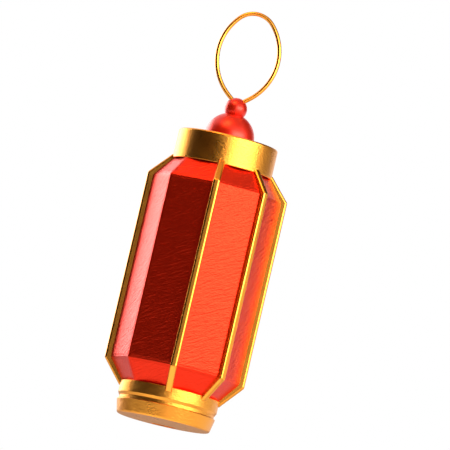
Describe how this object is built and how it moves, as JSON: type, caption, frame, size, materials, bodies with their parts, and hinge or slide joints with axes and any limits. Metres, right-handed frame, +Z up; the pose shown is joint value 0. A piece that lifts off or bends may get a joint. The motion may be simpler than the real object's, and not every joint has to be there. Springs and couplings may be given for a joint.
{
  "type": "hanging lantern",
  "caption": "Hanging lantern with an octagonal red shade in a cage of bent gold ribs, a round collar and base, a bead and dome on top and an oval hanging ring.",
  "frame": {"origin": "centre of the base cap's flat underside", "axes": "+Z up along the lantern's axis to the hanging ring, +X along the hanging ring's wire in the bead, -Y towards the rib between the bare fold and the next rib on its right"},
  "size_m": [0.1, 0.1, 0.2964],
  "materials": {
    "polished_gold": "polished, gold plated",
    "satin_gold": "satin with a fine crinkle, gold plated",
    "red_lacquer": "smooth semi-gloss red",
    "red_shade_sheet": "satin red sheet embossed with a fine crinkle",
    "red_moulding": "matte dark red",
    "black_moulding": "matte black",
    "screw_steel": "zinc plated",
    "contact_nickel": "nickel plated",
    "cell_jacket": "printed film over steel, plain",
    "board_laminate": "white solder mask",
    "lamp_resin": "clear amber resin",
    "frosted_white": "frosted"
  },
  "bodies": {
    "ring": {"hanging_ring": "polished_gold"},
    "bead": {"finial_bead": "red_lacquer", "swivel_screw": "screw_steel", "swivel_washer": "screw_steel"},
    "lantern": {"finial_dome": "red_lacquer", "top_collar": "satin_gold", "upper_shade_ring": "red_moulding", "lower_shade_ring": "red_moulding", "base_band": "satin_gold", "rib_1": "polished_gold", "rib_2": "polished_gold", "rib_3": "polished_gold", "rib_4": "polished_gold", "rib_5": "polished_gold", "rib_6": "polished_gold", "rib_7": "polished_gold", "shade_panel_1": "red_shade_sheet", "shade_panel_2": "red_shade_sheet", "shade_panel_3": "red_shade_sheet", "shade_panel_4": "red_shade_sheet", "shade_panel_5": "red_shade_sheet", "shade_panel_6": "red_shade_sheet", "shade_panel_double": "red_shade_sheet", "battery_holder": "black_moulding", "holder_screws": "screw_steel", "battery_cell_1": "cell_jacket", "battery_cell_2": "cell_jacket", "battery_cell_3": "cell_jacket", "contact_plates": "contact_nickel", "contact_springs": "contact_nickel", "switch_housing": "black_moulding", "circuit_board": "board_laminate", "led_lamps": "lamp_resin", "light_diffuser": "frosted_white"},
    "cap": {"base_cap": "satin_gold"},
    "lever": {"switch_lever": "black_moulding"}
  },
  "joints": [
    {"name": "ring_swing", "type": "hinge", "parent": "ring", "child": "bead", "pos_m": [0, 0, 0.2313], "axis": [1, 0, 0], "range_deg": [-75, 75]},
    {"name": "lantern_turn", "type": "hinge", "parent": "bead", "child": "lantern", "pos_m": [0, 0, 0.2263], "axis": [0, 0, 1], "continuous": true},
    {"name": "cap_pull", "type": "slide", "parent": "lantern", "child": "cap", "axis": [0, 0, -1], "range_m": [0, 0.014]},
    {"name": "switch_travel", "type": "slide", "parent": "lantern", "child": "lever", "axis": [1, 0, 0], "range_m": [0, 0.0025]}
  ]
}
